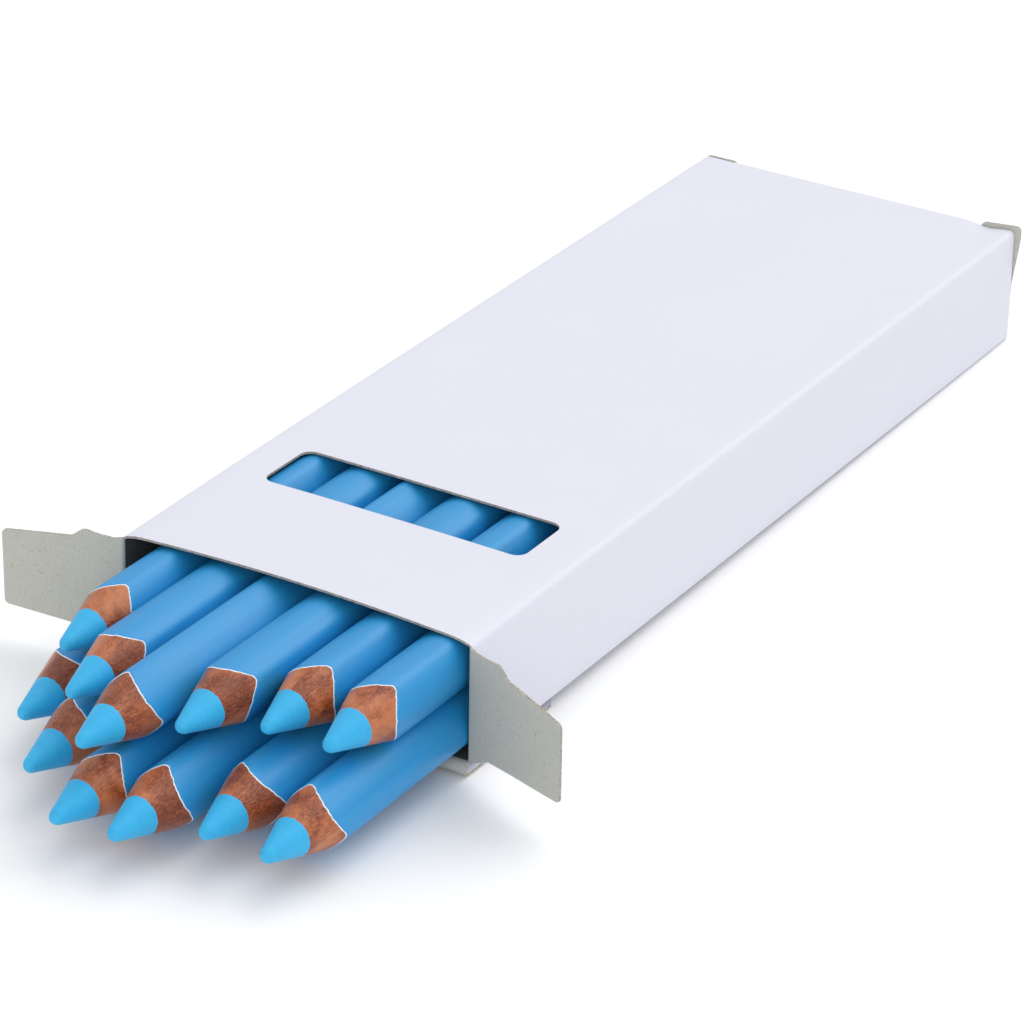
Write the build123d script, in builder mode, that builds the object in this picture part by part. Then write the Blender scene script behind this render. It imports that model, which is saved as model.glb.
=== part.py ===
from build123d import *
import os
from math import asin, cos, degrees, radians, sin, sqrt, tan

# A flat tuck-end paperboard carton that holds two rows of jumbo triangular coloured
# pencils, partly slid out of its open mouth.
# Millimetres. X is across the carton, +Y runs from the mouth to the closed end and +Z is up.
# The origin is the centre of the closed end's outer face.

# ---- carton ---------------------------------------------------------------------------
CARTON_LENGTH = 180.0
CARTON_WIDTH = 63.0
MOUTH_HEIGHT = 20.4
BACK_HEIGHT = 21.2           # the tucked tongue lifts the closed end
BOARD = 0.4                  # thickness of the paperboard
CREASE_GAP = 0.15            # free space that stands for a crease between two bodies

WINDOW_WIDTH = 47.6
WINDOW_LENGTH = 12.6
WINDOW_RADIUS = 2.0
WINDOW_X = -0.3              # the window is a little left of the middle
WINDOW_SETBACK = 26.4        # from the mouth to the window's front edge

FLAP_LENGTH = 21.0           # every dust flap, from its crease to its free edge
FLAP_CLEARANCE = 0.2         # between a flap's long edges and the panels over and under it
SHOULDER_LENGTH = 6.8        # the stretch of full height beside a dust flap's crease
SHOULDER_END = 8.9           # where the slanted cut after the shoulder ends
SHOULDER_DROP = 1.8          # how far the slanted cut comes down
FLAP_TIP_DROP = 3.3          # how far the top edge is down at the free end
FLAP_CORNER_RADIUS = 0.9
FLAP_FOOT_START = 4.4        # where the slanted cut at the crease's lower end ends
FLAP_FOOT_RISE = 2.0         # how far that cut goes up
FLAP_TIP_RISE = 2.9          # how far the lower edge is up at the free end
LEFT_FLAP_ANGLE = 83.0       # swung out from straight ahead
RIGHT_FLAP_ANGLE = 70.0

FRONT_TONGUE_WIDTH = 61.4
FRONT_TONGUE_LENGTH = 12.0
BACK_TONGUE_WIDTH = 42.0
BACK_TONGUE_LENGTH = 9.0
TONGUE_CORNER_RADIUS = 4.0
TONGUE_SHOULDER = 3.5        # where a tongue's sides start to slant in
TONGUE_TAPER = 5.0           # how far each side has slanted in at the free end
PANEL_MARGIN = 0.3           # an end panel is this much narrower than the carton at each side
EAR_WIDTH = 6.7              # the locking ears at the back closure's top corners
EAR_RISE = 0.8               # how far an ear stands over the top panel
EAR_SPREAD = 1.2             # how far an ear stands out past the side panel
EAR_HEIGHT = 11.5            # from an ear's foot, flush with the side panel, to the top face
EAR_CORNER_RADIUS = 1.0
FOLD_GAP = 1.45              # between the carton's underside and the panel folded under it
TONGUE_DROP = 0.3            # between the top panel and the tucked tongue

# ---- pencils --------------------------------------------------------------------------
PENCIL_LENGTH = 175.0
CORNER_RADIUS = 1.95         # of the rounded corners of the section
CORNER_OFFSET = 3.25         # from the pencil's axis to a corner's centre
SIDE_RADIUS = 6.52           # of the bulging sides of the section
LACQUER = 0.15               # thickness of the paint
CORE_RADIUS = 3.1
GLUE = 0.01                  # between the core and the wood, and between the wood and the paint
CONE_ANGLE = 17.4            # half angle of the sharpened point
NOSE_RADIUS = 1.2            # of the worn tip of the core

# Where each pencil lies, seen from the mouth: x, height of its axis over the carton's
# underside, roll (direction of one corner, from +X towards +Z) and how far its tip stands
# out of the mouth. Pencils are numbered from left to right.
UPPER_ROW = [
    (-23.45, 14.92, 68.0, 25.8),
    (-13.84, 15.14, 43.0, 37.0),
    (-4.56, 14.77, 102.0, 47.0),
    (5.33, 15.32, 39.0, 36.6),
    (15.22, 15.01, 63.5, 29.6),
    (25.63, 15.10, 58.7, 29.2),
]
LOWER_ROW = [
    (-26.35, 5.64, 17.7, 32.7),
    (-16.79, 5.20, 111.6, 43.7),
    (-4.92, 5.15, 70.5, 53.1),
    (4.56, 5.05, -30.7, 52.1),
    (15.30, 5.32, 0.0, 45.1),
    (25.87, 5.14, 101.1, 45.2),
]

MOUTH_Y = -CARTON_LENGTH
UNDERSIDE_Z = -BACK_HEIGHT / 2
TOP_Z = BACK_HEIGHT / 2                     # top face at the closed end
SLOPE = (BACK_HEIGHT - MOUTH_HEIGHT) / CARTON_LENGTH
TOP_FACE = Plane((0, 0, TOP_Z), (1, 0, 0), (0, -SLOPE, 1))
WALL_X = CARTON_WIDTH / 2
FRONT_Y = MOUTH_Y + CREASE_GAP              # front edge of the top and side panels
BACK_Y = -BOARD - CREASE_GAP                # back edge of the four long panels
FOLD_RADIUS = FOLD_GAP / 2                  # inside of the front fold
FOLD_Z = UNDERSIDE_Z - FOLD_RADIUS          # height of the front fold's axis
FLOOR_FRONT_Y = MOUTH_Y + FOLD_RADIUS + BOARD + CREASE_GAP


def save(piece, name):
    """Label a finished piece and write its STEP file."""
    piece.label = name
    export_step(piece, f"parts/{name}.step")


# ---- the pencils' shapes --------------------------------------------------------------
def triangle_section(plane, inset):
    """A pencil's section, a triangle with round corners and bulging sides, made smaller by inset."""
    arc_gap = SIDE_RADIUS - CORNER_RADIUS
    half_side = CORNER_OFFSET * sin(radians(60))
    half_turn = degrees(asin(half_side / arc_gap))
    side_offset = CORNER_OFFSET * cos(radians(60)) - sqrt(arc_gap**2 - half_side**2)
    with BuildSketch(plane) as section:
        with BuildLine():
            for corner_angle in (0, 120, 240):
                side_angle = corner_angle + 60
                corner = Vector(CORNER_OFFSET, 0).rotate(Axis.Z, corner_angle)
                side = Vector(side_offset, 0).rotate(Axis.Z, side_angle)
                CenterArc(
                    corner, CORNER_RADIUS - inset, corner_angle - 60 + half_turn, 120 - 2 * half_turn
                )
                CenterArc(side, SIDE_RADIUS - inset, side_angle - half_turn, 2 * half_turn)
        make_face()
    return section.sketch


def point_profile(plane):
    """Half the outline of the sharpened envelope: the nose, the cone and a barrel wider than the pencil."""
    barrel_radius = CORNER_OFFSET + 2 * CORNER_RADIUS
    with BuildSketch(plane) as profile:
        with BuildLine():
            nose = CenterArc((0, NOSE_RADIUS), NOSE_RADIUS, -90, 90 - CONE_ANGLE)
            nose_end = nose @ 1
            cone_length = (barrel_radius - nose_end.X) / tan(radians(CONE_ANGLE))
            Polyline(
                nose_end,
                (barrel_radius, nose_end.Y + cone_length),
                (barrel_radius, PENCIL_LENGTH),
                (0, PENCIL_LENGTH),
                (0, 0),
            )
        make_face()
    return profile.sketch


def pencil(name, x, height, roll, reach):
    """The four pieces of one pencil: paint, two glued slats of wood and the core."""
    z = UNDERSIDE_Z + height
    tip_y = MOUTH_Y - reach
    corner_direction = (cos(radians(roll)), 0, sin(radians(roll)))
    tail = Plane((x, tip_y + PENCIL_LENGTH, z), corner_direction, (0, -1, 0))
    tip = Plane((x, tip_y, z))
    axis = Axis(tip.origin, (0, 1, 0))
    glue_line = Plane((x, tip_y, z), z_dir=corner_direction)

    with BuildPart() as lacquer:
        extrude(triangle_section(tail, 0), amount=PENCIL_LENGTH)
        extrude(triangle_section(tail, LACQUER), amount=PENCIL_LENGTH, mode=Mode.SUBTRACT)
        revolve(point_profile(tip), axis=axis, mode=Mode.INTERSECT)
    save(lacquer.part, f"{name}_lacquer")

    for slat_name, side in (("corner_slat", Keep.TOP), ("side_slat", Keep.BOTTOM)):
        with BuildPart() as slat:
            extrude(triangle_section(tail, LACQUER + GLUE), amount=PENCIL_LENGTH)
            with BuildSketch(tail):
                Circle(CORE_RADIUS + GLUE)
            extrude(amount=PENCIL_LENGTH, mode=Mode.SUBTRACT)
            revolve(point_profile(tip), axis=axis, mode=Mode.INTERSECT)
            split(bisect_by=glue_line, keep=side)
        save(slat.part, f"{name}_{slat_name}")

    with BuildPart() as core:
        with BuildSketch(tail):
            Circle(CORE_RADIUS)
        extrude(amount=PENCIL_LENGTH)
        revolve(point_profile(tip), axis=axis, mode=Mode.INTERSECT)
    save(core.part, f"{name}_core")


# ---- the carton's shapes --------------------------------------------------------------
def under_top_panel(y):
    """Height of the top panel's lower face at y."""
    return TOP_Z + SLOPE * y - BOARD * sqrt(1 + SLOPE**2)


def long_panels():
    """The four panels of the sleeve, glued into one tube and creased at its corners."""
    panel_y = (FRONT_Y + BACK_Y) / 2
    panel_length = BACK_Y - FRONT_Y
    floor_z = UNDERSIDE_Z + BOARD

    with BuildPart() as top_panel:
        with BuildSketch(TOP_FACE):
            with Locations((0, panel_y)):
                Rectangle(CARTON_WIDTH, panel_length)
            with Locations((WINDOW_X, MOUTH_Y + WINDOW_SETBACK + WINDOW_LENGTH / 2)):
                RectangleRounded(WINDOW_WIDTH, WINDOW_LENGTH, WINDOW_RADIUS, mode=Mode.SUBTRACT)
        extrude(amount=-BOARD)
    save(top_panel.part, "top_panel")

    with BuildPart() as bottom_panel:
        with BuildSketch(Plane.XY.offset(UNDERSIDE_Z)):
            with Locations((0, (FLOOR_FRONT_Y + BACK_Y) / 2)):
                Rectangle(CARTON_WIDTH, BACK_Y - FLOOR_FRONT_Y)
        extrude(amount=BOARD)
    save(bottom_panel.part, "bottom_panel")

    for name, outer_x in (("left_side_panel", -WALL_X), ("right_side_panel", WALL_X - BOARD)):
        with BuildPart() as side_panel:
            with BuildSketch(Plane.YZ.offset(outer_x)):
                with BuildLine():
                    Polyline(
                        (FRONT_Y, floor_z),
                        (BACK_Y, floor_z),
                        (BACK_Y, under_top_panel(BACK_Y)),
                        (FRONT_Y, under_top_panel(FRONT_Y)),
                        close=True,
                    )
                make_face()
            extrude(amount=BOARD)
        save(side_panel.part, name)


def dust_flap(name, crease, direction, thickness):
    """A dust flap that stands on a vertical crease and runs along direction."""
    low = UNDERSIDE_Z + BOARD + FLAP_CLEARANCE
    high = UNDERSIDE_Z + MOUTH_HEIGHT - BOARD - FLAP_CLEARANCE
    across = Vector(direction).cross(Vector(0, 0, 1))
    with BuildPart() as flap:
        with BuildSketch(Plane((crease[0], crease[1], 0), direction, across)):
            with BuildLine():
                Polyline(
                    (0, low),
                    (0, high),
                    (SHOULDER_LENGTH, high),
                    (SHOULDER_END, high - SHOULDER_DROP),
                    (FLAP_LENGTH, high - FLAP_TIP_DROP),
                    (FLAP_LENGTH, low + FLAP_TIP_RISE),
                    (FLAP_FOOT_START, low + FLAP_FOOT_RISE),
                    close=True,
                )
            make_face()
            fillet(vertices().group_by(Axis.X)[-1], FLAP_CORNER_RADIUS)
        extrude(amount=thickness)
    save(flap.part, name)


def end_flaps():
    """The dust flaps: two swung open at the mouth and two lying flat inside the closed end."""
    crease_x = WALL_X + CREASE_GAP
    inner_x = WALL_X - BOARD - FLAP_CLEARANCE
    for word, side, angle in (("left", -1, LEFT_FLAP_ANGLE), ("right", 1, RIGHT_FLAP_ANGLE)):
        outward = (side * sin(radians(angle)), -cos(radians(angle)), 0)
        dust_flap(f"front_{word}_dust_flap", (side * crease_x, MOUTH_Y), outward, side * BOARD)
        dust_flap(f"back_{word}_dust_flap", (side * inner_x, BACK_Y), (-side, 0, 0), -side * BOARD)


def tongue_sketch(plane, width, length):
    """A tuck tongue from its crease, on the plane's X axis, to its narrower end with round corners."""
    end_x = width / 2 - TONGUE_TAPER
    with BuildSketch(plane) as tongue:
        with BuildLine():
            right_side = Polyline(
                (0, 0),
                (width / 2, 0),
                (width / 2, TONGUE_SHOULDER),
                (end_x, length),
                (0, length),
            )
            mirror(right_side, about=Plane.YZ)
        make_face()
        fillet(vertices().group_by(Axis.Y)[-1], TONGUE_CORNER_RADIUS)
    return tongue.sketch


def front_closure():
    """The panel hinged on the mouth's lower edge, folded back under the carton, and its tongue."""
    panel_width = CARTON_WIDTH - 2 * PANEL_MARGIN
    folded_z = UNDERSIDE_Z - FOLD_GAP - BOARD
    panel_end_y = MOUTH_Y + MOUTH_HEIGHT

    with BuildPart() as panel:
        with BuildSketch(Plane.YZ.offset(-panel_width / 2)):
            with BuildLine():
                outer = CenterArc((MOUTH_Y, FOLD_Z), FOLD_RADIUS + BOARD, 90, 180)
                inner = CenterArc((MOUTH_Y, FOLD_Z), FOLD_RADIUS, 90, 180)
                Line(outer @ 0, inner @ 0)
                Polyline(
                    outer @ 1,
                    (panel_end_y, folded_z),
                    (panel_end_y, folded_z + BOARD),
                    inner @ 1,
                )
            make_face()
        extrude(amount=panel_width)
    save(panel.part, "front_closure_panel")

    with BuildPart() as tongue:
        crease = Plane((0, panel_end_y + CREASE_GAP, folded_z), (1, 0, 0), (0, 0, 1))
        extrude(tongue_sketch(crease, FRONT_TONGUE_WIDTH, FRONT_TONGUE_LENGTH), amount=BOARD)
    save(tongue.part, "front_tuck_tongue")


def back_closure():
    """The panel that closes the back end, with an ear at each top corner, and its tucked tongue."""
    foot_x = WALL_X - PANEL_MARGIN
    ear_x = WALL_X + EAR_SPREAD
    slit_x = WALL_X - EAR_WIDTH
    crease_z = TOP_Z - BOARD - TONGUE_DROP
    with BuildPart() as panel:
        with BuildSketch(Plane.XZ):
            with BuildLine():
                right_edge = Polyline(
                    (0, UNDERSIDE_Z),
                    (foot_x, UNDERSIDE_Z),
                    (foot_x, TOP_Z - EAR_HEIGHT),
                    (ear_x, TOP_Z + EAR_RISE),
                    (slit_x, TOP_Z + EAR_RISE),
                    (slit_x, crease_z),
                    (0, crease_z),
                )
                mirror(right_edge, about=Plane.YZ)
            make_face()
            fillet(vertices().group_by(Axis.Y)[-1], EAR_CORNER_RADIUS)
        extrude(amount=BOARD)
    save(panel.part, "back_closure_panel")

    with BuildPart() as tongue:
        crease = Plane((0, BACK_Y, crease_z), (-1, 0, 0), (0, 0, 1))
        extrude(tongue_sketch(crease, BACK_TONGUE_WIDTH, BACK_TONGUE_LENGTH), amount=-BOARD)
    save(tongue.part, "back_tuck_tongue")


os.makedirs("parts", exist_ok=True)
long_panels()
end_flaps()
front_closure()
back_closure()
for row_name, row in (("upper", UPPER_ROW), ("lower", LOWER_ROW)):
    for number, place in enumerate(row, start=1):
        pencil(f"{row_name}_pencil_{number}", *place)
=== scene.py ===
import math

import bmesh
import bpy
import numpy as np
from mathutils import Matrix, Vector, noise


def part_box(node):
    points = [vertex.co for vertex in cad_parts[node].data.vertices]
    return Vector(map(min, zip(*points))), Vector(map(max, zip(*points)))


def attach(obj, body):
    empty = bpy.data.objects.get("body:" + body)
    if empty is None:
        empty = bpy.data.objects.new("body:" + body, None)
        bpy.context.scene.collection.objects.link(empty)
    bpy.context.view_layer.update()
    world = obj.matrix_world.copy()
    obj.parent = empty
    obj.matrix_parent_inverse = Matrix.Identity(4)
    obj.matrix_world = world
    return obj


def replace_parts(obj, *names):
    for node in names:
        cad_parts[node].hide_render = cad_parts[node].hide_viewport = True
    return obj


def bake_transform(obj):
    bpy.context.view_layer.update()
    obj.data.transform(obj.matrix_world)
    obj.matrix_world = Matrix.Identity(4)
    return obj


# A white tuck-end carton of jumbo triangular coloured pencils, partly slid out of the mouth.
# Shapes are worked out in millimetres in the frame's axes and scaled to metres as meshes.

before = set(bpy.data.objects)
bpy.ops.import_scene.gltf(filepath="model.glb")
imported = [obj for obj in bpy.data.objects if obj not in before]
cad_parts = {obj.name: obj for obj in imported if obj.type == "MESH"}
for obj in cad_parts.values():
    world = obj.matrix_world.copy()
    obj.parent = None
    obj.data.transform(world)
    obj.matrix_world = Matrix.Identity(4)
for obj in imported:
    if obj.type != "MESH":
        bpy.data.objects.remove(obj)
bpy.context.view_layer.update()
MM = 0.001


def box_mm(node):
    """A CAD node's lowest and highest corners in millimetres."""
    low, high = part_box(node)
    return low / MM, high / MM


# ---- sizes read from the frame ---------------------------------------------------------
TOP_LOW, TOP_HIGH = box_mm("top_panel")
WALL_LOW, WALL_HIGH = box_mm("right_side_panel")
BOARD = WALL_HIGH.x - WALL_LOW.x
WALL_X = TOP_HIGH.x
FRONT_Y = TOP_LOW.y
BACK_Y = TOP_HIGH.y
UNDER_Z = box_mm("bottom_panel")[0].z
BACK_TOP_Z = TOP_HIGH.z
MOUTH_TOP_Z = TOP_LOW.z + BOARD
MOUTH_Y = box_mm("front_left_dust_flap")[1].y
LENGTH = BACK_Y - FRONT_Y

# ---- small helpers ---------------------------------------------------------------------
def smoothstep(low, high, value):
    """0 below low, 1 above high, smooth between; takes numbers or arrays."""
    t = np.clip((value - low) / (high - low), 0, 1)
    return t * t * (3 - 2 * t)


def wobble(x, y=0.0, z=0.0):
    """Smooth noise between about -1 and 1 at a point, the same on every run."""
    return noise.noise(Vector((x, y, z)))


def drawn_in(rest, radius):
    """How far an edge is drawn in by a round corner, at a distance rest from the corner's end."""
    if rest >= radius:
        return 0.0
    return radius - math.sqrt(max(0.0, radius**2 - (radius - rest) ** 2))


def corner_runs(length, radius, steps, first=0.15):
    """Distances along a length's last stretch, over its round corner, closer towards the end."""
    return [length - radius * (1 - math.sin(a)) for a in np.linspace(first, math.pi / 2, steps)]


def finish_mesh(name, points, faces, slots, materials, sharp_degrees=40):
    """An object from points in millimetres, faces and each face's material number."""
    mesh = bpy.data.meshes.new(name)
    mesh.from_pydata((np.asarray(points, float) * MM).tolist(), [], faces)
    for material in materials:
        mesh.materials.append(material)
    mesh.polygons.foreach_set("material_index", slots)
    mesh.polygons.foreach_set("use_smooth", [True] * len(faces))
    mesh.set_sharp_from_angle(angle=math.radians(sharp_degrees))
    mesh.validate()
    thing = bpy.data.objects.new(name, mesh)
    bpy.context.scene.collection.objects.link(thing)
    return thing


def grid_faces(rows, columns, wrap_rows, wrap_columns, slot_of):
    """Quads over a grid of points, with the material number of each from slot_of(row, column)."""
    faces, slots = [], []
    for i in range(rows if wrap_rows else rows - 1):
        for j in range(columns if wrap_columns else columns - 1):
            i2, j2 = (i + 1) % rows, (j + 1) % columns
            faces.append((i * columns + j, i2 * columns + j, i2 * columns + j2, i * columns + j2))
            slots.append(slot_of(i, j))
    return faces, slots


def outward(thing):
    """Turns every face of a closed mesh to the outside."""
    shape = bmesh.new()
    shape.from_mesh(thing.data)
    bmesh.ops.recalc_face_normals(shape, faces=shape.faces)
    shape.to_mesh(thing.data)
    shape.free()
    return thing


# ---- materials -------------------------------------------------------------------------
class Shader:
    """A material being wired: a Principled shader and short calls for the nodes that feed it."""

    def __init__(self, name, roughness, **sockets):
        self.material = bpy.data.materials.new(name)
        self.material.use_nodes = True
        self.tree = self.material.node_tree
        self.bsdf = self.tree.nodes["Principled BSDF"]
        self.bsdf.inputs["Roughness"].default_value = roughness
        for socket, value in sockets.items():
            self.bsdf.inputs[socket.replace("_", " ")].default_value = value
        self.place = self.node("ShaderNodeTexCoord").outputs["Object"]

    def node(self, kind, **settings):
        made = self.tree.nodes.new(kind)
        for key, value in settings.items():
            setattr(made, key, value)
        return made

    def link(self, source, target):
        self.tree.links.new(source, target)

    def stretched(self, x, y, z):
        """The object's coordinates multiplied by x, y and z, for grain that runs one way."""
        mapping = self.node("ShaderNodeMapping")
        mapping.inputs["Scale"].default_value = (x, y, z)
        self.link(self.place, mapping.inputs["Vector"])
        return mapping.outputs["Vector"]

    def noise(self, scale, detail=3.0, roughness=0.55, place=None, distortion=0.0):
        made = self.node("ShaderNodeTexNoise")
        made.inputs["Scale"].default_value = scale
        made.inputs["Detail"].default_value = detail
        made.inputs["Roughness"].default_value = roughness
        made.inputs["Distortion"].default_value = distortion
        self.link(place or self.place, made.inputs["Vector"])
        return made.outputs["Fac"]

    def ramp(self, source, *stops):
        """A colour ramp with stops of (position, (r, g, b))."""
        made = self.node("ShaderNodeValToRGB")
        elements = made.color_ramp.elements
        while len(elements) < len(stops):
            elements.new(0.5)
        for element, (position, colour) in zip(elements, stops):
            element.position = position
            element.color = (*colour, 1)
        self.link(source, made.inputs["Fac"])
        return made.outputs["Color"]

    def mix(self, factor, first, second, blend="MIX"):
        """Colours mixed by factor; a colour is an output or (r, g, b), and factor an output or number."""
        made = self.node("ShaderNodeMix", data_type="RGBA", blend_type=blend)
        for socket, value in (("Factor", factor), ("A", first), ("B", second)):
            target = next(
                i for i in made.inputs
                if i.name == socket and i.type == ("VALUE" if socket == "Factor" else "RGBA")
            )
            if isinstance(value, tuple):
                target.default_value = (*value, 1)
            elif isinstance(value, float):
                target.default_value = value
            else:
                self.link(value, target)
        return next(o for o in made.outputs if o.type == "RGBA")

    def span(self, source, from_low, from_high, to_low, to_high):
        made = self.node("ShaderNodeMapRange")
        for key, value in (("From Min", from_low), ("From Max", from_high),
                           ("To Min", to_low), ("To Max", to_high)):
            made.inputs[key].default_value = value
        self.link(source, made.inputs["Value"])
        return made.outputs["Result"]

    def bump(self, source, height_mm, strength=1.0, under=None):
        made = self.node("ShaderNodeBump")
        made.inputs["Distance"].default_value = height_mm * MM
        made.inputs["Strength"].default_value = strength
        self.link(source, made.inputs["Height"])
        if under is not None:
            self.link(under, made.inputs["Normal"])
        return made.outputs["Normal"]

    def set(self, socket, source):
        self.link(source, self.bsdf.inputs[socket])


def make_lacquer():
    """Satin light-blue paint: drawn lengthwise, with a faint orange peel and a little dust."""
    s = Shader("lacquer_blue", 0.5, Coat_Weight=0.12, Coat_Roughness=0.35)
    drawn = s.stretched(1, 0.03, 1)
    streaks = s.noise(900.0, 2.0, place=drawn)
    patches = s.noise(90.0, 3.0)
    base = s.mix(patches, (0.009, 0.235, 0.545), (0.016, 0.280, 0.615))
    base = s.mix(s.span(streaks, 0.35, 0.7, 0.0, 0.25), base, (0.030, 0.345, 0.70))
    dust = s.span(s.noise(1400.0, 1.0), 0.78, 0.82, 0.0, 0.5)
    s.set("Base Color", s.mix(dust, base, (0.02, 0.13, 0.33)))
    s.set("Roughness", s.span(patches, 0.3, 0.7, 0.44, 0.56))
    peel = s.bump(s.noise(1500.0, 2.0), 0.004)
    s.set("Normal", s.bump(streaks, 0.006, under=peel))
    return s.material


def make_primer():
    """The chalky white undercoat that shows along the sharpened edge of the paint."""
    s = Shader("primer_white", 0.7)
    patches = s.noise(1800.0, 3.0)
    s.set("Base Color", s.ramp(patches, (0.30, (0.62, 0.60, 0.62)), (0.55, (0.86, 0.87, 0.90))))
    s.set("Normal", s.bump(s.noise(4000.0, 2.0), 0.02))
    return s.material


def make_cedar():
    """Reddish pencil wood cut across its grain: streaks, short dark pores and a silky sheen."""
    s = Shader("cedar", 0.45, Sheen_Weight=0.10, Sheen_Roughness=0.35)
    grain = s.noise(3600.0, 5.0, 0.72, s.stretched(1, 0.22, 1), 0.4)
    broad = s.noise(170.0, 3.0, 0.5, s.stretched(1, 0.6, 1), 0.8)
    fibre = s.noise(7000.0, 3.0, 0.6, s.stretched(1, 0.3, 1))
    base = s.ramp(
        grain,
        (0.30, (0.070, 0.014, 0.004)),
        (0.43, (0.190, 0.040, 0.011)),
        (0.55, (0.350, 0.085, 0.026)),
        (0.68, (0.500, 0.165, 0.075)),
    )
    base = s.mix(s.span(broad, 0.46, 0.64, 0.0, 0.70), base, (0.58, 0.200, 0.080))
    base = s.mix(s.span(broad, 0.50, 0.32, 0.0, 0.75), base, (0.140, 0.026, 0.007))
    base = s.mix(s.span(fibre, 0.54, 0.70, 0.0, 0.30), base, (0.64, 0.26, 0.135))
    pores = s.span(s.noise(3200.0, 1.0, 0.5, s.stretched(1, 0.16, 1)), 0.62, 0.70, 0.0, 0.22)
    s.set("Base Color", s.mix(pores, base, (0.11, 0.032, 0.014)))
    s.set("Roughness", s.span(grain, 0.3, 0.7, 0.30, 0.46))
    s.set("Normal", s.bump(grain, 0.028, under=s.bump(fibre, 0.016)))
    return s.material


def make_core():
    """Waxy bright-blue pigment core with faint rings from the sharpener and a fine tooth."""
    s = Shader("core_cyan", 0.6, Sheen_Weight=0.05)
    rings = s.noise(2600.0, 2.0, 0.5, s.stretched(0.12, 1, 0.12))
    tooth = s.noise(5000.0, 3.0)
    patches = s.noise(420.0, 3.0)
    base = s.mix(patches, (0.016, 0.365, 0.690), (0.028, 0.440, 0.770))
    base = s.mix(s.span(rings, 0.55, 0.75, 0.0, 0.35), base, (0.025, 0.29, 0.56))
    s.set("Base Color", s.mix(s.span(tooth, 0.55, 0.8, 0.0, 0.3), base, (0.09, 0.55, 0.85)))
    s.set("Normal", s.bump(rings, 0.02, under=s.bump(tooth, 0.010)))
    return s.material


def make_coated_white():
    """The carton's printed side: white clay coating with a cool tint, faint mottle and fine tooth."""
    s = Shader("board_coated_white", 0.6, Coat_Weight=0.04, Coat_Roughness=0.45)
    mottle = s.noise(55.0, 4.0)
    fine = s.noise(700.0, 3.0)
    base = s.mix(mottle, (0.662, 0.670, 0.752), (0.692, 0.702, 0.785))
    base = s.mix(s.span(fine, 0.45, 0.75, 0.0, 0.25), base, (0.730, 0.718, 0.780))
    s.set("Base Color", base)
    s.set("Roughness", s.span(mottle, 0.3, 0.7, 0.56, 0.66))
    fibres = s.bump(s.noise(2200.0, 3.0, 0.6, s.stretched(1, 0.4, 1)), 0.006)
    s.set("Normal", s.bump(s.noise(120.0, 2.0), 0.03, under=fibres))
    return s.material


def make_grey_board(name, shade):
    """The carton's inner side: recycled grey board with flecks, light fibres and a rough tooth; every
    colour is multiplied by shade, which below 1 paints shade into the board.
    """
    s = Shader(name, 0.85)

    def grey(r, g, b):
        return (r * shade, g * shade, b * shade)

    cloud = s.noise(180.0, 4.0)
    weave = s.noise(3400.0, 4.0, 0.75, s.stretched(1, 1, 0.7), 0.3)
    base = s.mix(cloud, grey(0.430, 0.430, 0.385), grey(0.490, 0.490, 0.440))
    base = s.mix(s.span(weave, 0.38, 0.62, 0.0, 0.45), base, grey(0.57, 0.56, 0.48))
    base = s.mix(s.span(weave, 0.44, 0.30, 0.0, 0.5), base, grey(0.31, 0.31, 0.285))
    flecks = s.span(s.noise(2100.0, 1.0), 0.72, 0.76, 0.0, 0.55)
    s.set("Base Color", s.mix(flecks, base, grey(0.13, 0.11, 0.10)))
    s.set("Normal", s.bump(weave, 0.04, under=s.bump(cloud, 0.04)))
    return s.material


def make_cut_edge():
    """The sheared edge of the board: brownish layers under the white coating."""
    s = Shader("board_cut_edge", 0.9)
    layers = s.noise(2400.0, 4.0)
    s.set("Base Color", s.ramp(
        layers, (0.30, (0.24, 0.20, 0.165)), (0.55, (0.40, 0.36, 0.31)), (0.72, (0.55, 0.52, 0.47))
    ))
    s.set("Normal", s.bump(layers, 0.05))
    return s.material


def make_floor():
    """Plain pale studio floor."""
    s = Shader("studio_floor", 0.9)
    s.set("Base Color", s.mix(s.noise(3.0, 2.0), (0.93, 0.93, 0.935), (0.95, 0.95, 0.95)))
    return s.material


LACQUER = make_lacquer()
PRIMER = make_primer()
CEDAR = make_cedar()
CORE = make_core()
WHITE = make_coated_white()
GREY = make_grey_board("board_grey", 1.0)
# The sleeve's inner face: the same grey board darkened to 0.17 as painted shade, standing for the shadow
# inside the tube.
INSIDE_PAINTED_SHADE = make_grey_board("board_grey_inside_painted_shade", 0.17)
EDGE = make_cut_edge()

# ---- pencils ---------------------------------------------------------------------------
CORNER_RADIUS = 1.95         # of the rounded corners of a pencil's section
CORNER_OFFSET = 3.25         # from the pencil's axis to a corner's centre
SIDE_RADIUS = 6.52           # of the section's bulging sides
PAINT = 0.15                 # thickness of the paint
PRIMER_SHARE = 0.42          # of the paint's thickness
CORE_RADIUS = 3.1
WOOD_GAP = 0.01              # between the wood and the paint, and between the wood and the core
CONE = math.radians(17.4)    # half angle of the sharpened point
NOSE_RADIUS = 1.2
WORN_NOSE = [                # the blunt tip's profile: (distance behind the tip, radius)
    (0.14, 0.30), (0.14, 0.50), (0.17, 0.60), (0.26, 0.71), (0.42, 0.84), (0.60, 0.99),
]
NOSE_WEAR = 0.05             # how uneven the worn nose is, as a share of its radius
WOOD_ROUGHNESS = 0.018       # how far the sharpener's marks stand out
CORE_ROUGHNESS = 0.012
CORE_FIT = 0.005             # how much the core is thinner in the wood than where it leaves it
ANGLES = 216                 # points round a pencil
TURNS = np.linspace(0, 2 * math.pi, ANGLES, endpoint=False)


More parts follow.
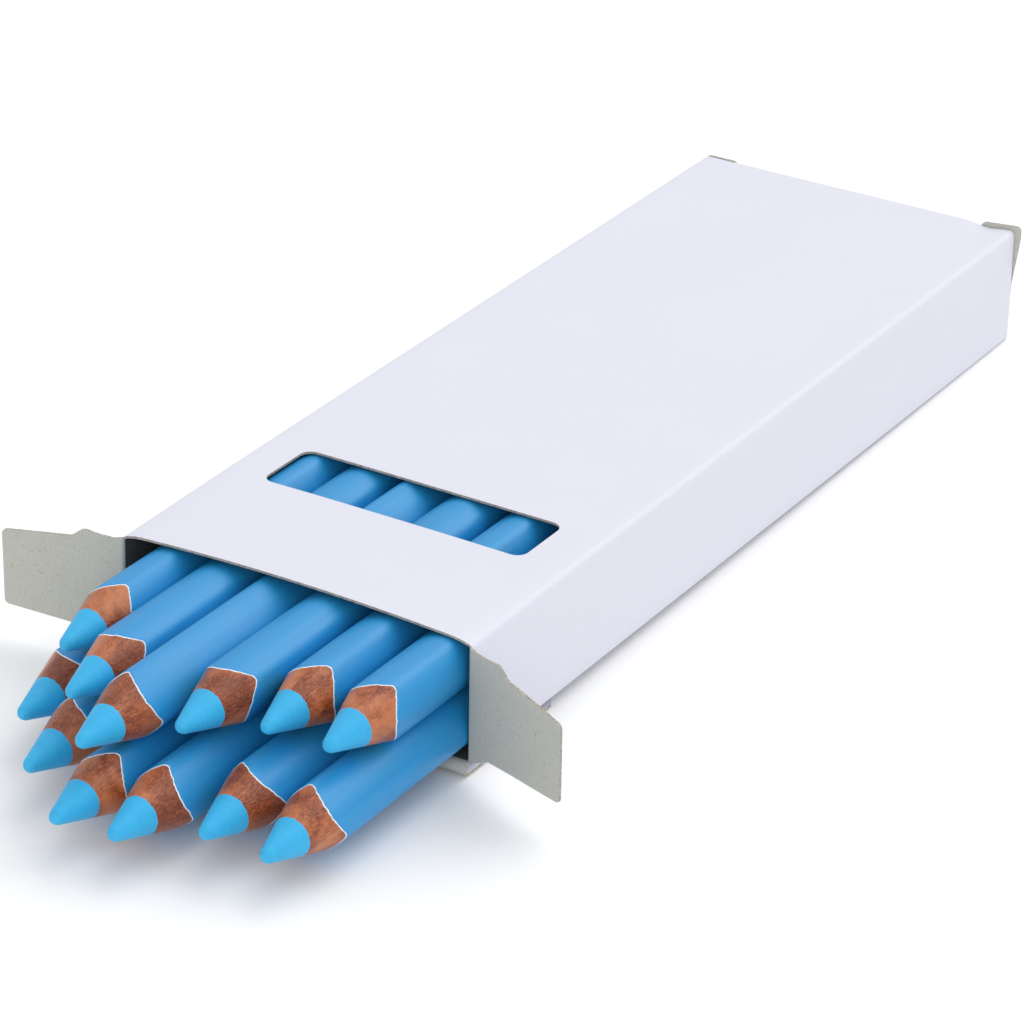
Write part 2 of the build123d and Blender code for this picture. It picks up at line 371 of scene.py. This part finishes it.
def section_radius(turn):
    """Distance from a pencil's axis to its surface at an angle from one of its corners."""
    third = 2 * math.pi / 3
    a = abs((turn + third / 2) % third - third / 2)
    gap = SIDE_RADIUS - CORNER_RADIUS
    half_side = CORNER_OFFSET * math.sin(third / 2)
    swing = third / 2 - math.asin(half_side / gap)
    side_offset = CORNER_OFFSET * math.cos(third / 2) - math.sqrt(gap**2 - half_side**2)
    tangent = math.atan2(
        CORNER_RADIUS * math.sin(swing), CORNER_OFFSET + CORNER_RADIUS * math.cos(swing)
    )
    if a < tangent:
        reach = CORNER_RADIUS**2 - (CORNER_OFFSET * math.sin(a)) ** 2
        return CORNER_OFFSET * math.cos(a) + math.sqrt(reach)
    b = third / 2 - a
    return side_offset * math.cos(b) + math.sqrt(SIDE_RADIUS**2 - (side_offset * math.sin(b)) ** 2)


SECTION = np.array([section_radius(t) for t in TURNS])
NOSE_END = NOSE_RADIUS * (1 - math.sin(CONE))
NOSE_END_RADIUS = NOSE_RADIUS * math.cos(CONE)


def cone_station(radius):
    """Distance behind the tip at which the sharpened cone has this radius."""
    return NOSE_END + (radius - NOSE_END_RADIUS) / math.tan(CONE)


def cone_radius(station):
    return NOSE_END_RADIUS + (station - NOSE_END) * math.tan(CONE)


def ragged(seed, amount, fineness):
    """A wandering offset for each angle round a pencil, joined up where the turn closes."""
    return np.array([
        amount * (
            wobble(fineness * math.cos(t) + seed, fineness * math.sin(t), seed * 1.7)
            + 0.5 * wobble(3 * fineness * math.cos(t) + seed, 3 * fineness * math.sin(t), -seed)
        )
        for t in TURNS
    ])


def pencil_frame(name):
    """The tip, the tail and the direction of one corner of a CAD pencil, in millimetres."""
    low, high = box_mm(f"{name}_core")
    centre = (low + high) / 2
    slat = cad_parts[f"{name}_corner_slat"].data.vertices
    middle = sum((v.co for v in slat), Vector()) / len(slat) / MM
    roll = math.atan2(middle.z - centre.z, middle.x - centre.x)
    return Vector((centre.x, low.y, centre.z)), high.y - low.y, roll


def pencil_points(tip, roll, radii, stations):
    """Points from radii and stations, both arrays of angle by step."""
    turn = (roll + TURNS)[:, None]
    x = tip.x + radii * np.cos(turn)
    z = tip.z + radii * np.sin(turn)
    return np.stack([x, tip.y + stations, z], axis=2).reshape(-1, 3)


def columns(*values):
    """Each value, a number or one number per angle, as a column of an angle-by-step array."""
    return np.stack([np.broadcast_to(v, (ANGLES,)) for v in values], axis=1)


def make_paint(name, tip, length, roll, edge):
    """The paint: a thin coat whose front edge is cut by the cone and shows the white primer."""
    inner = SECTION - PAINT
    primer = inner + PAINT * PRIMER_SHARE
    barrel = [0.25, 1.0, 4.0, 12.0, 40.0, 80.0]      # rings behind the cut edge
    front = cone_station(SECTION) + edge
    # The cut edge with its primer, the barrel, a small chamfer at the tail, and back inside.
    radii = [inner, primer, SECTION - 0.02] + [SECTION] * (len(barrel) + 1) + [SECTION - 0.05]
    stations = [cone_station(inner) + edge, cone_station(primer) + edge, front - 0.04]
    stations += [front + step for step in barrel] + [length - 0.3, length]
    radii += [inner, inner, inner]
    stations += [length, length - 40.0, front + 2.0]
    points = pencil_points(tip, roll, columns(*radii), columns(*stations))
    count = len(radii)
    faces, slots = grid_faces(ANGLES, count, True, True, lambda i, j: 1 if j == 0 else 0)
    paint = finish_mesh(f"{name}_paint", points, faces, slots, [LACQUER, PRIMER])
    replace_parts(outward(paint), f"{name}_lacquer")
    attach(paint, name)


def make_wood(name, tip, length, roll, edge, join, seed):
    """The two glued slats: the bare sharpened cone, and the wood under the paint."""
    skin = SECTION - PAINT - WOOD_GAP
    bore = cone_radius(join) + WOOD_GAP
    shoulder = cone_station(skin) + edge
    radii, stations = [], []
    for share in np.linspace(0, 1, 30) ** 0.9:       # over the bare cone
        station = join + share * (shoulder - join)
        rough = WOOD_ROUGHNESS * np.array([
            wobble(9 * math.cos(t) + seed, 1.1 * share, 9 * math.sin(t) - seed) for t in TURNS
        ])
        radii.append(np.minimum(cone_radius(station) + rough * min(1, 6 * share), skin))
        stations.append(station)
    # Under the paint to the tail, and back along the bore.
    radii += [skin, skin, skin, bore, bore]
    stations += [shoulder + 0.3, shoulder + 60.0, length, length, join + 20.0]
    grid = pencil_points(tip, roll, columns(*radii), columns(*stations))
    count = len(radii)
    grid = grid.reshape(ANGLES, count, 3)
    quarter = ANGLES // 4
    halves = {
        "corner_slat": np.arange(-quarter, quarter + 1),
        "side_slat": np.arange(quarter, 3 * quarter + 1),
    }
    for half, rows in halves.items():
        points = grid[rows % ANGLES].reshape(-1, 3)
        faces, slots = grid_faces(len(rows), count, False, True, lambda i, j: 0)
        faces.append(tuple(range(count)))
        faces.append(tuple(range((len(rows) - 1) * count, len(rows) * count))[::-1])
        slots += [0, 0]
        wood = finish_mesh(f"{name}_{half}_wood", points, faces, slots, [CEDAR])
        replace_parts(outward(wood), f"{name}_{half}")
        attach(wood, name)


def make_core_piece(name, tip, length, roll, join, seed):
    """The core: a blunt worn nose, the cone up to the wood, and the cylinder inside."""
    unevenness = np.array([wobble(1.3 * math.cos(t) + seed, 1.3 * math.sin(t)) for t in TURNS])
    worn = 1 + NOSE_WEAR * unevenness
    radii = [radius * worn for _, radius in WORN_NOSE] + [NOSE_END_RADIUS * np.ones(ANGLES)]
    stations = [station for station, _ in WORN_NOSE] + [NOSE_END]
    for share in np.linspace(0, 1, 22)[1:]:
        station = NOSE_END + share * (join - NOSE_END)
        rough = CORE_ROUGHNESS * np.array([
            wobble(4 * math.cos(t) + seed, 7 * share, 4 * math.sin(t) + seed) for t in TURNS
        ])
        radii.append(cone_radius(station) + rough * min(1, 4 * (1 - share)))
        stations.append(station)
    shank = cone_radius(join) - CORE_FIT
    radii += [shank, shank, shank]
    stations += [join + 0.2, join + 40.0, length]
    points = pencil_points(tip, roll, columns(*radii), columns(*stations))
    count = len(radii)
    faces, slots = grid_faces(ANGLES, count, True, False, lambda i, j: 0)
    faces.append(tuple(range(0, ANGLES * count, count)))
    faces.append(tuple(range(count - 1, ANGLES * count, count))[::-1])
    slots += [0, 0]
    core = finish_mesh(f"{name}_colour", points, faces, slots, [CORE])
    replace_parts(outward(core), f"{name}_core")
    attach(core, name)


def make_pencil(name, seed):
    """One pencil; edge and join are how far the paint and the wood are cut back, angle by angle."""
    tip, length, roll = pencil_frame(name)
    edge = np.maximum(0, 0.10 + ragged(seed, 0.22, 3.0) + ragged(seed + 5, 0.09, 14.0))
    join = cone_station(CORE_RADIUS) + ragged(seed + 9, 0.10, 5.0) + ragged(seed + 2, 0.05, 20.0)
    make_paint(name, tip, length, roll, edge)
    make_wood(name, tip, length, roll, edge, join, seed)
    make_core_piece(name, tip, length, roll, join, seed)


# ---- carton sleeve ---------------------------------------------------------------------
CREASE_RADIUS = 0.9          # outside radius of the long creases
ARC_STEPS = 7
CORNER_DROP = 0.45           # how far the mouth's upper corners sag
CORNER_DROP_WIDTH = 3.0      # how far in from the side walls that sag reaches
CROWN = 1.0                  # how far the top panel bulges at the middle of the mouth
CROWN_MARGIN = 1.5           # from the side walls to where the bulge starts
CROWN_REACH = 22.0           # how soon the bulge and the sag fade towards the closed end
DIMPLE_X = 26.2              # where the top is pressed in beside the right ear
DIMPLE_DEPTH = 0.5
DIMPLE_SPREAD = (2.6, 6.0)   # across the carton and along it
WAVE = 1.1                   # of the panels inwards; a quarter of it is the most, at mid-length
WAVE_SIZE = (21, 34, 15)     # how far apart the waves are along X, Y and Z
WAVE_FULL = 8.0              # distance from a crease at which they are full


def section_loop(top_z):
    """Outer points and normals round the sleeve: floor, right wall, top and left wall."""
    radius = CREASE_RADIUS
    centre_x = WALL_X - radius
    low, high = UNDER_Z + radius, top_z - radius
    runs = (
        ((-centre_x, UNDER_Z), (centre_x, UNDER_Z), 24, (centre_x, low), -90),
        ((WALL_X, low), (WALL_X, high), 12, (centre_x, high), 0),
        ((centre_x, top_z), (-centre_x, top_z), 48, (-centre_x, high), 90),
        ((-WALL_X, high), (-WALL_X, low), 12, (-centre_x, low), 180),
    )
    points, normals = [], []
    for start, end, steps, centre, angle in runs:
        normal = (math.cos(math.radians(angle)), math.sin(math.radians(angle)))
        for k in range(steps):
            t = k / steps
            points.append((start[0] + t * (end[0] - start[0]), start[1] + t * (end[1] - start[1])))
            normals.append(normal)
        for k in range(ARC_STEPS):
            a = math.radians(angle + 90 * k / ARC_STEPS)
            points.append((centre[0] + radius * math.cos(a), centre[1] + radius * math.sin(a)))
            normals.append((math.cos(a), math.sin(a)))
    return np.array(points), np.array(normals)


def sleeve_ring(y, inset):
    """The sleeve's section at y: its outer surface, or its inner one with inset BOARD."""
    back = (y - FRONT_Y) / LENGTH
    top_z = MOUTH_TOP_Z + (BACK_TOP_Z - MOUTH_TOP_Z) * back
    ring, normals = section_loop(top_z)
    waves = np.array([
        0.5 + 0.5 * wobble(x / WAVE_SIZE[0], y / WAVE_SIZE[1], z / WAVE_SIZE[2]) for x, z in ring
    ])
    rise = np.minimum(ring[:, 1] - UNDER_Z, top_z - ring[:, 1])
    from_crease = np.maximum(WALL_X - np.abs(ring[:, 0]), rise)
    waves *= smoothstep(CREASE_RADIUS, WAVE_FULL, from_crease)
    depth = inset + WAVE * waves * back * (1 - back)
    x, z = (ring - normals * depth[:, None]).T
    height = np.clip((z - UNDER_Z) / (top_z - UNDER_Z), 0, 1)
    fade = math.exp((FRONT_Y - y) / CROWN_REACH)
    sag = CORNER_DROP * smoothstep(WALL_X - CORNER_DROP_WIDTH, WALL_X, np.abs(x)) * fade
    bulge = CROWN * np.clip(1 - (x / (WALL_X - CROWN_MARGIN)) ** 2, 0, 1) * fade
    across, along = (x - DIMPLE_X) / DIMPLE_SPREAD[0], (y - BACK_Y) / DIMPLE_SPREAD[1]
    dent = DIMPLE_DEPTH * np.exp(-(across**2) - along**2)
    lift = (bulge - sag - dent) * smoothstep(0.5, 1.0, height)
    return np.stack([x, np.full(len(x), y), z + lift], axis=1)


def make_sleeve():
    """The glued tube of board with soft creases, a bulging mouth and a punched window."""
    share = np.linspace(0, 1, 61)
    closer_in_front = 0.35 * share + 0.65 * share**1.6
    stations = list(FRONT_Y + LENGTH * closer_in_front[:-1]) + [BACK_Y - 2.5, BACK_Y - 1.2, BACK_Y]
    outer = [sleeve_ring(y, 0.0) for y in stations]
    inner = [sleeve_ring(y, BOARD) for y in stations]
    rings = outer + inner[::-1]
    count = len(outer[0])
    steps = len(outer)

    def slot_of(i, j):
        if i < steps - 1:
            return 0
        if steps <= i < 2 * steps - 1:
            return 1
        return 2

    faces, slots = grid_faces(len(rings), count, True, True, slot_of)
    points = np.concatenate(rings)
    # Slot 1, the tube's inner face, carries the grey board with painted shade.
    sleeve = outward(finish_mesh("carton_sleeve", points, faces, slots, [WHITE, INSIDE_PAINTED_SHADE, EDGE]))
    punch_window(sleeve)
    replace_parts(sleeve, "top_panel", "bottom_panel", "left_side_panel", "right_side_panel")
    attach(sleeve, "carton")


WINDOW_LEFT, WINDOW_RIGHT = -24.1, 23.5
WINDOW_SETBACK = 26.4        # from the mouth to the window
WINDOW_LENGTH = 12.6
WINDOW_FRONT = MOUTH_Y + WINDOW_SETBACK
WINDOW_BACK = WINDOW_FRONT + WINDOW_LENGTH
WINDOW_RADIUS = 2.0
WINDOW_STEPS = 8             # in each round corner


def punch_window(sleeve):
    """Cuts the round-cornered window through the sleeve's top and bares the board in its edge."""
    outline = []
    for x, y, start in (
        (WINDOW_RIGHT, WINDOW_BACK, 0), (WINDOW_LEFT, WINDOW_BACK, 90),
        (WINDOW_LEFT, WINDOW_FRONT, 180), (WINDOW_RIGHT, WINDOW_FRONT, 270),
    ):
        cx = x - math.copysign(WINDOW_RADIUS, x)
        cy = y - WINDOW_RADIUS if y == WINDOW_BACK else y + WINDOW_RADIUS
        for k in range(WINDOW_STEPS + 1):
            a = math.radians(start + 90 * k / WINDOW_STEPS)
            outline.append((cx + WINDOW_RADIUS * math.cos(a), cy + WINDOW_RADIUS * math.sin(a)))
    count = len(outline)
    points = [(x, y, z) for z in (MOUTH_TOP_Z - 3, BACK_TOP_Z + 3) for x, y in outline]
    faces = [tuple(range(count))[::-1], tuple(range(count, 2 * count))]
    faces += [(k, (k + 1) % count, (k + 1) % count + count, k + count) for k in range(count)]
    cutter = finish_mesh("window_cutter", points, faces, [0] * len(faces), [EDGE])
    cut = sleeve.modifiers.new("window", "BOOLEAN")
    cut.operation, cut.solver, cut.object = "DIFFERENCE", "EXACT", cutter
    scene_state = bpy.context.evaluated_depsgraph_get()
    shaped = bpy.data.meshes.new_from_object(sleeve.evaluated_get(scene_state))
    sleeve.modifiers.clear()
    sleeve.data = shaped
    bpy.data.objects.remove(cutter)
    for face in shaped.polygons:
        x, y, z = face.center / MM
        along = WINDOW_FRONT - 0.1 < y < WINDOW_BACK + 0.1
        across = WINDOW_LEFT - 0.1 < x < WINDOW_RIGHT + 0.1
        if along and across and z > 0 and abs(face.normal.z) < 0.5:
            face.material_index = 2
            face.use_smooth = False


# ---- flaps and closures ----------------------------------------------------------------
def make_board(name, runs, low, high, place, cross_steps=14):
    """A piece of board: for each run u a strip of points from low(u) to high(u).

    place(u, v, depth) gives the point in millimetres; depth 0 is the white face and BOARD the grey.
    """
    rows = []
    for u in runs:
        heights = np.linspace(low(u), high(u), cross_steps)
        white = [place(u, v, 0.0) for v in heights]
        grey = [place(u, v, BOARD) for v in heights[::-1]]
        rows.append(white + grey)
    count = 2 * cross_steps

    def slot_of(i, j):
        if j < cross_steps - 1:
            return 0
        if j == cross_steps - 1 or j == count - 1:
            return 2
        return 1

    faces, slots = grid_faces(len(rows), count, False, True, slot_of)
    for row in (0, len(rows) - 1):
        for k in range(cross_steps - 1):
            a, b = row * count + k, row * count + k + 1
            c, d = row * count + count - 2 - k, row * count + count - 1 - k
            faces.append((a, b, c, d))
            slots.append(2)
    points = np.array(rows).reshape(-1, 3)
    return outward(finish_mesh(name, points, faces, slots, [WHITE, GREY, EDGE], sharp_degrees=50))


def through(*pairs):
    """A height that runs straight between (u, height) pairs."""
    us, heights = zip(*pairs)
    return lambda u: float(np.interp(u, us, heights))


def rounded_end(edge, length, radius, sign):
    """edge(u) with a round corner at the free end; sign is +1 for the upper edge."""
    return lambda u: edge(u) - sign * drawn_in(length - u, radius)


FLAP_LENGTH = 21.0
FLAP_CORNER = 0.8
FLAP_ANGLES = {"left": 83, "right": 70}      # degrees swung out from straight ahead
FLAP_CURL = 0.10             # how far a flap bows over its length
FLAP_RIPPLE = 0.05           # how uneven its faces are
RIPPLE_SIZE = (6, 7)         # how far apart its ripples are, along it and up it
BEND = 0.15                  # radius of the white side in a flap's crease
# A flap's long edges as (distance from the crease, depth under the mouth's top) and as
# (distance from the crease, height over the underside).
FLAP_TOP = [
    (0, 0.75), (1.2, 1.1), (4.0, 1.05), (6.2, 0.75), (6.8, 0.9), (8.7, 2.4), (FLAP_LENGTH, 4.0),
]
FLAP_FOOT = [(0, 0.75), (0.8, 0.8), (4.4, 2.6), (FLAP_LENGTH, 3.5)]


def flap_edges():
    """Lower and upper edges of a dust flap, over its distance from the crease."""
    upper = through(*((u, MOUTH_TOP_Z - depth) for u, depth in FLAP_TOP))
    lower = through(*((u, UNDER_Z + height) for u, height in FLAP_FOOT))
    return (
        rounded_end(lower, FLAP_LENGTH, FLAP_CORNER, -1),
        rounded_end(upper, FLAP_LENGTH, FLAP_CORNER, 1),
    )


def bent_path(centre, radius, start, turn, hand):
    """A strip's path seen from above: an arc round centre, then straight on.

    Gives (point on the white face, unit vector towards the grey face) for a distance u after the arc.
    start is the grey direction's angle at the arc's beginning, and hand is which way it turns.
    """
    arc = radius * turn

    def at(u):
        angle = start + hand * (turn if u >= 0 else turn * (1 + u / arc))
        grey = Vector((math.cos(angle), math.sin(angle)))
        point = Vector(centre) + radius * grey
        if u > 0:
            along = Vector((-grey.y, grey.x)) * hand
            point = point + along * u
        return point, grey

    return at


def make_front_flaps():
    """The mouth's dust flaps, swung open, each with its crease as a small bend of the board."""
    lower, upper = flap_edges()
    for word, side in (("left", -1), ("right", 1)):
        turn = math.radians(FLAP_ANGLES[word])
        start = math.pi if side > 0 else 0.0
        path = bent_path((side * (WALL_X + BEND), FRONT_Y), BEND, start, turn, side)
        bend = (BEND + BOARD / 2) * turn

        def place(u, v, depth):
            point, grey = path(u if u > 0 else u * (BEND * turn) / bend)
            curl = FLAP_CURL * math.sin(max(u, 0) / FLAP_LENGTH * math.pi)
            ripple = FLAP_RIPPLE * wobble(u / RIPPLE_SIZE[0], v / RIPPLE_SIZE[1], side)
            spot = point + grey * (depth - curl + ripple * (u > 1))
            return (spot.x, spot.y, v)

        runs = list(np.linspace(-bend, 0, 6)) + list(np.linspace(0.3, FLAP_LENGTH - FLAP_CORNER, 40))
        runs += corner_runs(FLAP_LENGTH, FLAP_CORNER, 8)
        flap = make_board(f"front_{word}_flap_board", runs, lower, upper, place)
        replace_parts(flap, f"front_{word}_dust_flap")
        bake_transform(flap)


CLOSURE_CORNER = 1.2         # of the front closure, beside its tongue


def make_front_closure():
    """The front closure folded back under the carton: a bend of half a turn, and the flat panel."""
    low, high = box_mm("front_closure_panel")
    radius = (UNDER_Z - low.z - BOARD) / 2
    centre = (MOUTH_Y, UNDER_Z - radius)
    arc = math.pi * radius
    total = arc + high.y - MOUTH_Y
    half = high.x

    def place(u, v, depth):
        if u < arc:
            angle = math.pi / 2 + u / radius
            reach = radius + depth
            y = centre[0] + reach * math.cos(angle)
            z = centre[1] + reach * math.sin(angle)
        else:
            y, z = MOUTH_Y + u - arc, UNDER_Z - 2 * radius - depth
        return (v, y, z)

    def edge(u):
        return half - drawn_in(total - u, CLOSURE_CORNER)

    runs = list(np.linspace(0, arc, 15)) + list(np.linspace(arc + 0.5, total - CLOSURE_CORNER, 24))
    runs += corner_runs(total, CLOSURE_CORNER, 6)
    panel = make_board("front_closure_board", runs, lambda u: -edge(u), edge, place, 30)
    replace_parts(panel, "front_closure_panel")
    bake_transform(panel)


TONGUE_CORNER = 4.0
TONGUE_SHOULDER = 3.5        # where a tongue's sides start to slant in
TONGUE_TAPER = 5.0           # how far each side has slanted in at the free end
TONGUE_BOW = 0.06            # how far a tongue sags between its ends


def make_tongue(name, node, flip):
    """A flat tuck tongue with round free corners; flip is -1 where it runs towards the mouth."""
    low, high = box_mm(node)
    length = high.y - low.y
    root = low.y if flip > 0 else high.y
    half = high.x

    def place(u, v, depth):
        bow = TONGUE_BOW * math.sin(math.pi * u / length)
        return (v, root + flip * u, high.z + (low.z - high.z) * depth / BOARD - bow)

    def edge(u):
        slant = TONGUE_TAPER * max(0.0, u - TONGUE_SHOULDER) / (length - TONGUE_SHOULDER)
        return half - slant - drawn_in(length - u, TONGUE_CORNER)

    runs = list(np.linspace(0, length - TONGUE_CORNER, 12))
    runs += corner_runs(length, TONGUE_CORNER, 12, first=0.12)
    tongue = make_board(name, runs, lambda u: -edge(u), edge, place, 24)
    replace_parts(tongue, node)
    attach(tongue, node)


PANEL_MARGIN = 0.3           # the back panel is this much narrower than the carton at each side
PANEL_BEND = 0.55            # outside radius of its bend at the floor
PANEL_TOP_GAP = 0.5          # from its upper edge to the tongue's crease
EAR_WIDTH = 6.7
EAR_HEIGHT = 11.5            # from the carton's top down to an ear's foot
EAR_CORNER = 1.0
RIGHT_EAR_SLANT = 0.6        # how far the right ear's top comes down towards its slit
LEFT_EAR_SPREAD = 0.2        # the left ear lies nearly flush with the wall and the top
LEFT_EAR_RISE = 0.12


def make_back_closure():
    """The closed end: the panel, its bend at the floor, and an ear at each upper corner."""
    high = box_mm("back_closure_panel")[1]
    crease_z = box_mm("back_tuck_tongue")[1].z
    foot_x = WALL_X - PANEL_MARGIN
    ear_foot_z = BACK_TOP_Z - EAR_HEIGHT
    slit_x = WALL_X - EAR_WIDTH
    bend_z = UNDER_Z + PANEL_BEND
    bottom = bend_z - PANEL_BEND * math.pi / 2

    def place(u, v, depth):
        if v < bend_z:
            angle = (v - bend_z) / PANEL_BEND
            reach = PANEL_BEND - depth
            return (u, -PANEL_BEND + reach * math.cos(angle), bend_z + reach * math.sin(angle))
        return (u, -depth, v)

    def edge_x(u):
        return high.x if u > 0 else foot_x + LEFT_EAR_SPREAD

    def lower(u):
        if abs(u) <= foot_x:
            return bottom
        return float(np.interp(abs(u), (foot_x, edge_x(u)), (ear_foot_z, high.z - 2 * EAR_CORNER)))

    def upper(u):
        if abs(u) < slit_x:
            return crease_z - PANEL_TOP_GAP
        inner, outer = abs(u) - slit_x, edge_x(u) - abs(u)
        right_top = high.z - RIGHT_EAR_SLANT * (1 - inner / EAR_WIDTH)
        top = right_top if u > 0 else BACK_TOP_Z + LEFT_EAR_RISE
        return top - drawn_in(min(inner, outer), EAR_CORNER)

    def half(side):
        ends = [slit_x + EAR_CORNER * (1 - math.cos(a)) for a in np.linspace(0, math.pi / 2, 7)]
        ends += list(np.linspace(slit_x + EAR_CORNER + 0.5, foot_x - 0.1, 10)) + [foot_x]
        reach = edge_x(side) - foot_x
        ends += [foot_x + reach * t for t in (0.1, 0.3, 0.5, 0.7, 0.85, 0.95)]
        return [slit_x - 0.01] + ends

    runs = [-u for u in half(-1)[::-1]] + list(np.linspace(-24, 24, 30)) + half(1)
    panel = make_board("back_closure_board", runs, lower, upper, place, 40)
    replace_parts(panel, "back_closure_panel")
    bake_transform(panel)


def make_back_flaps():
    """The dust flaps inside the closed end."""
    lower, upper = flap_edges()
    for word, side in (("left", -1), ("right", 1)):
        low, high = box_mm(f"back_{word}_dust_flap")
        crease_x = side * max(abs(low.x), abs(high.x))

        def place(u, v, depth):
            return (crease_x - side * u, high.y - depth, v)

        runs = list(np.linspace(0, FLAP_LENGTH - FLAP_CORNER, 36))
        runs += corner_runs(FLAP_LENGTH, FLAP_CORNER, 8)
        flap = make_board(f"back_{word}_flap_board", runs, lower, upper, place)
        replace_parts(flap, f"back_{word}_dust_flap")
        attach(flap, f"back_{word}_dust_flap")


make_sleeve()
make_front_flaps()
make_front_closure()
make_back_closure()
make_back_flaps()
make_tongue("front_tongue_board", "front_tuck_tongue", 1)
make_tongue("back_tongue_board", "back_tuck_tongue", -1)
for row, first_seed in (("upper", 0), ("lower", 50)):
    for number in range(1, 7):
        make_pencil(f"{row}_pencil_{number}", 3.7 * number + first_seed)


# ---- stage, light and camera -----------------------------------------------------------
CAMERA_ANGLES = (31.430, 27.057, 0.996)    # azimuth, elevation and roll, in degrees
CAMERA_DISTANCE = 677.65
CAMERA_TARGET_X = 4.208
CAMERA_TARGET_IN = 55.11                   # from the mouth towards the closed end
CAMERA_LENS = 149.9
SENSOR_WIDTH = 36.0
FLOOR_REACH = 6000.0                       # from the middle of the floor to its edges
FLOOR_STEPS = 24
FLOOR_GAP = 0.05                           # between the floor and the carton


def make_stage():
    """A plain floor on which the carton rests, on the folded closure and its back lower edge."""
    low, high = box_mm("front_tuck_tongue")
    tilt = math.atan2(UNDER_Z - low.z, BACK_Y - high.y)
    places = np.linspace(-FLOOR_REACH, FLOOR_REACH, FLOOR_STEPS + 1)
    points = [
        (x, y, UNDER_Z - FLOOR_GAP + (y - BACK_Y) * math.tan(tilt)) for x in places for y in places
    ]
    faces, slots = grid_faces(len(places), len(places), False, False, lambda i, j: 0)
    floor = finish_mesh("studio_floor", points, faces, slots, [make_floor()])


def add_sun(name, towards, strength, spread):
    """A soft sun shining from the direction given, its disc spread degrees across."""
    sun = bpy.data.lights.new(name, "SUN")
    sun.energy = strength
    sun.angle = math.radians(spread)
    lamp = bpy.data.objects.new(name, sun)
    bpy.context.scene.collection.objects.link(lamp)
    lamp.rotation_mode = "QUATERNION"
    lamp.rotation_quaternion = Vector(towards).to_track_quat("Z", "Y")


def make_light():
    """A white tent of light, a soft key from above and behind, and a fill on the open end."""
    world = bpy.data.worlds.new("studio")
    bpy.context.scene.world = world
    world.use_nodes = True
    background = world.node_tree.nodes["Background"]
    background.inputs["Color"].default_value = (0.985, 0.99, 1.0, 1)
    background.inputs["Strength"].default_value = 0.76
    add_sun("key", (0.22, 0.60, 0.77), 1.35, 60)
    add_sun("front_fill", (0.35, -0.85, 0.40), 0.65, 35)


def make_camera():
    """The camera at the photograph's angle, through a long lens."""
    azimuth, elevation, roll = map(math.radians, CAMERA_ANGLES)
    back = Vector((
        math.sin(azimuth) * math.cos(elevation),
        -math.cos(azimuth) * math.cos(elevation),
        math.sin(elevation),
    ))
    level = Vector((math.cos(azimuth), math.sin(azimuth), 0))
    upright = back.cross(level)
    right = level * math.cos(roll) + upright * math.sin(roll)
    up = upright * math.cos(roll) - level * math.sin(roll)
    data = bpy.data.cameras.new("camera")
    data.sensor_width = SENSOR_WIDTH
    data.lens = CAMERA_LENS
    data.clip_start, data.clip_end = 0.01, 20
    camera = bpy.data.objects.new("camera", data)
    bpy.context.scene.collection.objects.link(camera)
    target = Vector((CAMERA_TARGET_X, MOUTH_Y + CAMERA_TARGET_IN, 0)) * MM
    turn = Matrix((right, up, back)).transposed().to_4x4()
    camera.matrix_world = Matrix.Translation(target + back * CAMERA_DISTANCE * MM) @ turn
    bpy.context.scene.camera = camera


make_stage()
make_light()
make_camera()
bpy.context.scene.view_settings.view_transform = "Standard"
